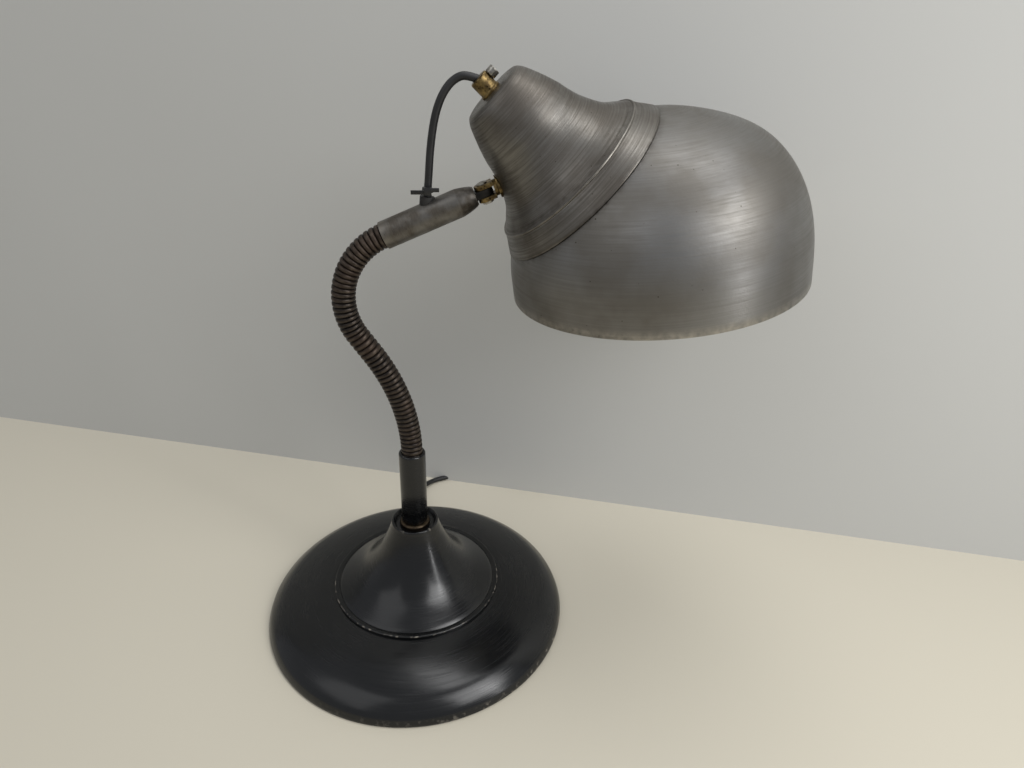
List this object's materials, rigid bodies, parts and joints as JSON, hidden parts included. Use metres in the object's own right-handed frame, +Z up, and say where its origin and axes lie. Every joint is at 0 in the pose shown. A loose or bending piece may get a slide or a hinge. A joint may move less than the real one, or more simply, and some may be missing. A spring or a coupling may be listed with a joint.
{
  "type": "gooseneck desk lamp",
  "caption": "Desk lamp with a weighted round base, spun cone, ribbed flexible neck and a hinged metal dome shade with side neck.",
  "frame": {"origin": "centre of the base's underside on the table", "axes": "+Z up; the lamp's plane of symmetry is XZ with the shade towards +X; the mains lead leaves the base towards +Y"},
  "size_m": [0.388, 0.3663, 0.4144],
  "materials": {
    "black_lacquer": "gloss, slightly worn",
    "felt": "matt",
    "plain_steel": "plain",
    "iron": "rough casting",
    "bronze_collar": "dark bronzed",
    "hose_bronze": "worn dark lacquer over steel",
    "gunmetal": "satin, aged",
    "dark_steel": "blackened",
    "aged_brass": "aged",
    "nickelled_steel": "worn nickel",
    "brushed_shade": "coarsely brushed",
    "black_lead": "satin black",
    "black_rubber": "satin black",
    "black_nylon": "satin black",
    "bakelite": "semi-gloss black",
    "porcelain": "glazed white",
    "contact_copper": "plain copper",
    "lamp_cap_metal": "plain",
    "opal_glass": "opal",
    "black_plastic": "semi-gloss black"
  },
  "bodies": {
    "base": {"base_dish": "black_lacquer", "base_felt": "felt", "base_plate": "plain_steel", "base_weight": "iron", "cone_cover": "black_lacquer", "stem_nipple": "plain_steel", "stem_washer": "plain_steel", "stem_nut": "plain_steel", "stem_collar": "bronze_collar", "stem_tube": "black_lacquer", "base_lead": "black_lead", "hose_1": "hose_bronze", "hose_lead_1": "black_lead", "strain_relief": "black_rubber", "mains_lead_a": "black_lead", "mains_lead_b": "black_lead", "mains_lead_c": "black_lead", "mains_coil": "black_lead", "switch_base": "black_plastic", "switch_cover": "black_plastic", "plug_body": "black_plastic", "plug_pins": "nickelled_steel"},
    "hose_link_2": {"hose_2": "hose_bronze", "hose_lead_2": "black_lead"},
    "hose_link_3": {"hose_3": "hose_bronze", "hose_lead_3": "black_lead"},
    "hose_link_4": {"hose_4": "hose_bronze", "hose_lead_4": "black_lead"},
    "hose_link_5": {"hose_5": "hose_bronze", "hose_lead_5": "black_lead"},
    "hose_link_6": {"hose_6": "hose_bronze", "hose_lead_6": "black_lead"},
    "arm": {"hose_7": "hose_bronze", "hose_lead_7": "black_lead", "arm_sleeve": "gunmetal", "lead_grommet": "black_rubber", "arm_lead": "black_lead", "cable_tie": "black_nylon", "arm_tongue": "dark_steel", "lead_arch": "black_lead"},
    "knuckle": {"knuckle_yoke": "aged_brass", "pivot_screw": "nickelled_steel", "pivot_nut": "nickelled_steel", "shank_nut": "plain_steel"},
    "head": {"shade_neck": "brushed_shade", "shade_dome": "brushed_shade", "outer_saddle": "aged_brass", "inner_saddle": "plain_steel", "grip_nipple": "aged_brass", "grip_body": "aged_brass", "grip_screw": "nickelled_steel", "head_lead": "black_lead", "holder_cap": "bakelite", "holder_shell": "bakelite", "holder_insert": "aged_brass", "holder_core": "porcelain", "centre_contact": "contact_copper", "lamp_cap": "lamp_cap_metal", "lamp_glass": "opal_glass"},
    "rocker": {"switch_rocker": "black_plastic"}
  },
  "joints": [
    {"name": "lower_bend", "type": "hinge", "parent": "base", "child": "hose_link_2", "pos_m": [-0.00274, 0, 0.17843], "axis": [0, 1, 0], "range_deg": [-12, 8]},
    {"name": "side_bend", "type": "hinge", "parent": "hose_link_2", "child": "hose_link_3", "pos_m": [-0.01085, 0, 0.20582], "axis": [0.9272, 0, 0.3746], "range_deg": [-14, 14]},
    {"name": "lower_bend_top", "type": "hinge", "parent": "hose_link_3", "child": "hose_link_4", "pos_m": [-0.02404, 0, 0.23115], "axis": [0, 1, 0], "range_deg": [-12, 8]},
    {"name": "upper_bend", "type": "hinge", "parent": "hose_link_4", "child": "hose_link_5", "pos_m": [-0.03275, 0, 0.24457], "axis": [0, 1, 0], "range_deg": [-14, 8]},
    {"name": "side_bend_top", "type": "hinge", "parent": "hose_link_5", "child": "hose_link_6", "pos_m": [-0.04033, 0, 0.27031], "axis": [1, 0, -0.003], "range_deg": [-14, 14]},
    {"name": "upper_bend_top", "type": "hinge", "parent": "hose_link_6", "child": "arm", "pos_m": [-0.0326, 0, 0.296], "axis": [0, 1, 0], "range_deg": [-14, 8]},
    {"name": "knuckle_turn", "type": "hinge", "parent": "arm", "child": "knuckle", "pos_m": [0.05212, 0, 0.34118], "axis": [-0.3987, 0, 0.9171], "range_deg": [-40, 40], "deforming": ["lead_arch"]},
    {"name": "head_swivel", "type": "hinge", "parent": "knuckle", "child": "head", "pos_m": [0.05212, 0, 0.34118], "axis": [0.9171, 0, 0.3987], "range_deg": [-35, 35]},
    {"name": "rocker_tilt", "type": "hinge", "parent": "base", "child": "rocker", "pos_m": [0.11405, 0.1679, 0.0104], "axis": [0.3001, 0.9539, 0], "range_deg": [-12, 0]}
  ],
  "couplings": [
    {"joint": "lower_bend_top", "follows": "lower_bend", "ratio": 1},
    {"joint": "side_bend_top", "follows": "side_bend", "ratio": 1},
    {"joint": "upper_bend_top", "follows": "upper_bend", "ratio": 1}
  ]
}
